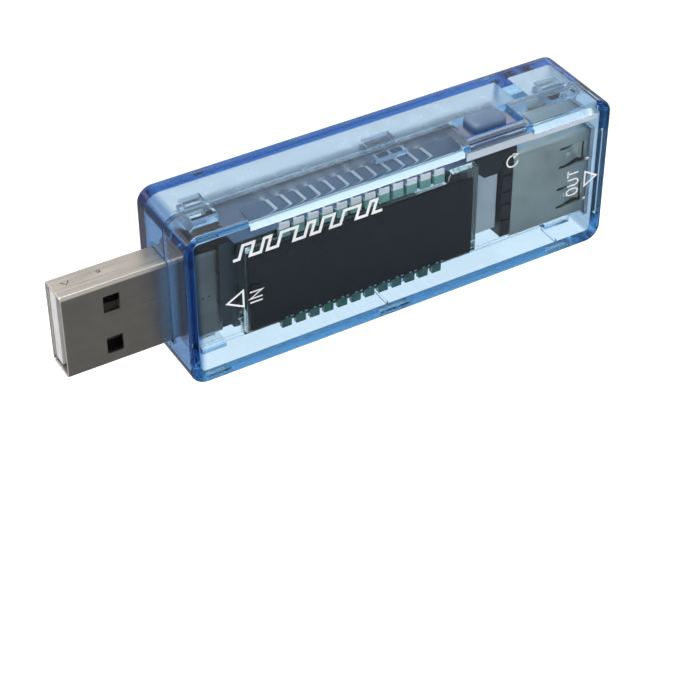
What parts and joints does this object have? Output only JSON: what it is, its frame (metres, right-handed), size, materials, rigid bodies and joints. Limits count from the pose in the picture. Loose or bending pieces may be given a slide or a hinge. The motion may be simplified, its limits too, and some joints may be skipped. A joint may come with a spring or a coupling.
{
  "type": "usb power meter",
  "caption": "Pocket USB meter in a see-through blue snap case: a plug at one end, a socket at the other, a display window between them and a reset button on the long narrow side.",
  "frame": {"origin": "centre of the bounding box's base, which is the flat long narrow side opposite the reset button", "axes": "+X from the plug to the socket, -Y out of the display window, +Z out of the reset button's side"},
  "size_m": [0.075, 0.013, 0.0229],
  "materials": {
    "blue_case": "polished see-through blue",
    "plug_steel": "satin nickel plate",
    "socket_steel": "satin tin plate",
    "contact_gold": "gold plate",
    "white_nylon": "moulded",
    "black_plastic": "moulded",
    "green_board": "solder mask",
    "display_glass": "polished",
    "polarizer_film": "dark film",
    "clear_acrylic": "clear moulding",
    "grey_plastic": "moulded",
    "lamp_resin": "moulded",
    "tinned_copper": "tinned",
    "ceramic_tan": "sintered",
    "resistor_black": "coated"
  },
  "bodies": {
    "meter": {"front_shell": "blue_case", "back_shell": "blue_case", "reset_switch_body": "black_plastic", "reset_switch_leg_1": "tinned_copper", "reset_switch_leg_2": "tinned_copper", "plug_shell": "plug_steel", "plug_insulator": "white_nylon", "socket_shell": "socket_steel", "socket_insulator": "black_plastic", "circuit_board": "green_board", "microcontroller": "black_plastic", "memory_chip": "black_plastic", "voltage_regulator": "black_plastic", "current_shunt": "resistor_black", "clock_crystal": "socket_steel", "lcd_front_polarizer": "polarizer_film", "lcd_front_glass": "display_glass", "lcd_rear_glass": "display_glass", "lcd_rear_polarizer": "polarizer_film", "light_guide": "clear_acrylic", "backlight_housing": "grey_plastic", "backlight_reflector": "white_nylon", "backlight_led_1": "lamp_resin", "backlight_led_2": "lamp_resin", "lcd_pins_upper": "tinned_copper", "lcd_pins_lower": "tinned_copper", "plug_contact_1": "contact_gold", "socket_contact_1": "contact_gold", "filter_capacitor_1": "ceramic_tan", "divider_resistor_1": "resistor_black", "plug_contact_2": "contact_gold", "socket_contact_2": "contact_gold", "filter_capacitor_2": "ceramic_tan", "divider_resistor_2": "resistor_black", "plug_contact_3": "contact_gold", "socket_contact_3": "contact_gold", "filter_capacitor_3": "ceramic_tan", "divider_resistor_3": "resistor_black", "plug_contact_4": "contact_gold", "socket_contact_4": "contact_gold", "filter_capacitor_4": "ceramic_tan", "divider_resistor_4": "resistor_black"},
    "button": {"reset_button": "blue_case"},
    "switch_plunger": {"reset_switch_plunger": "black_plastic"}
  },
  "joints": [
    {"name": "reset_button_press", "type": "slide", "parent": "meter", "child": "button", "axis": [0, 0, -1], "range_m": [0, 0.0003], "stiffness_N_per_m": 1500},
    {"name": "switch_plunger_press", "type": "slide", "parent": "meter", "child": "switch_plunger", "axis": [0, 0, -1], "range_m": [0, 0.0003]}
  ],
  "couplings": [
    {"joint": "switch_plunger_press", "follows": "reset_button_press", "ratio": 1}
  ]
}
